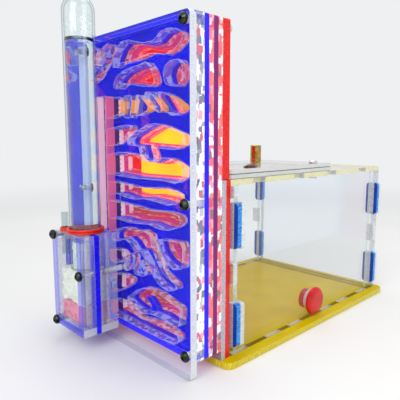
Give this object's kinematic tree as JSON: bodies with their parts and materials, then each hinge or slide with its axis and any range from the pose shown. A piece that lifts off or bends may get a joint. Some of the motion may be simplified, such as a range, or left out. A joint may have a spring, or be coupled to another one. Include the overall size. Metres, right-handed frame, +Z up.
{
  "type": "ant habitat",
  "caption": "Layered acrylic ant nest tower with a water tube and hydration block, joined to a clear lidded foraging arena with a swivel hatch and rubber plug.",
  "frame": {"origin": "centre of the yellow arena base's underside, on the floor", "axes": "+Z up; -Y is the nest face with the tube; +Y runs along the arena; +X is the side with the port"},
  "size_m": [0.122, 0.22, 0.1915],
  "materials": {
    "clear_acrylic": "polished clear cast acrylic with bright laser-cut edges",
    "frosted_acrylic": "clear acrylic seen on its frosted cut edges",
    "blue_acrylic": "transparent blue acrylic",
    "azure_acrylic": "transparent azure acrylic",
    "purple_acrylic": "transparent purple acrylic",
    "red_acrylic": "transparent red acrylic",
    "yellow_acrylic": "transparent yellow acrylic",
    "pink_sponge": "damp pink sponge",
    "cotton": "loose white cotton",
    "red_silicone": "smooth red silicone",
    "dark_red_rubber": "dark red rubber",
    "clear_tube": "clear tubing",
    "tube_glass": "thin clear laboratory glass",
    "water": "clean water",
    "dark_steel": "black domed heads on bright shafts",
    "bright_steel": "bright steel",
    "brass": "turned brass"
  },
  "bodies": {
    "habitat": {"front_plate": "clear_acrylic", "gallery_front": "clear_acrylic", "gallery_blue": "blue_acrylic", "gallery_middle": "clear_acrylic", "gallery_purple": "purple_acrylic", "gallery_rear": "clear_acrylic", "floor_panel": "yellow_acrylic", "hydration_bar": "pink_sponge", "rear_cover": "red_acrylic", "joint_plate": "frosted_acrylic", "arena_red_plate": "red_acrylic", "entry_tube": "clear_tube", "tower_bolts": "dark_steel", "tower_nuts": "bright_steel", "block_cover": "clear_acrylic", "block_front_frame": "clear_acrylic", "block_blue_frame": "blue_acrylic", "block_rear_frame": "clear_acrylic", "block_rear_plate": "clear_acrylic", "pink_sponge": "pink_sponge", "cotton_wad": "cotton", "block_bolts": "dark_steel", "tube_seal": "red_silicone", "straw_seal": "red_silicone", "arena_base": "yellow_acrylic", "near_wall": "clear_acrylic", "near_keys": "azure_acrylic", "near_inner_wall": "clear_acrylic", "right_wall": "clear_acrylic", "left_wall": "clear_acrylic", "far_wall": "clear_acrylic", "far_keys": "azure_acrylic", "far_outer_wall": "clear_acrylic"},
    "lid": {"arena_lid": "clear_acrylic", "hatch_frame": "clear_acrylic", "hatch_screw": "bright_steel"},
    "hatch": {"hatch_cover": "clear_acrylic", "hatch_knob": "brass"},
    "hatch_plug_body": {"hatch_plug": "dark_red_rubber"},
    "wall_plug_body": {"wall_plug": "red_silicone"},
    "tube": {"test_tube": "tube_glass", "tube_water": "water", "tube_cotton": "cotton"},
    "straw": {"fill_straw": "clear_tube"}
  },
  "joints": [
    {"name": "lid_lift", "type": "slide", "parent": "habitat", "child": "lid", "axis": [0, 0, 1], "range_m": [0, 0.06]},
    {"name": "hatch_swivel", "type": "hinge", "parent": "lid", "child": "hatch", "pos_m": [0.048, 0.004, 0.09975], "axis": [0, 0, -1], "range_deg": [0, 100]},
    {"name": "hatch_plug_pull", "type": "slide", "parent": "hatch", "child": "hatch_plug_body", "axis": [0, 0, 1], "range_m": [0, 0.012]},
    {"name": "wall_plug_pull", "type": "slide", "parent": "habitat", "child": "wall_plug_body", "axis": [1, 0, 0], "range_m": [0, 0.02]},
    {"name": "tube_lift", "type": "slide", "parent": "habitat", "child": "tube", "axis": [0, 0, 1], "range_m": [0, 0.04]},
    {"name": "straw_lift", "type": "slide", "parent": "habitat", "child": "straw", "axis": [0, 0, 1], "range_m": [0, 0.015]}
  ]
}
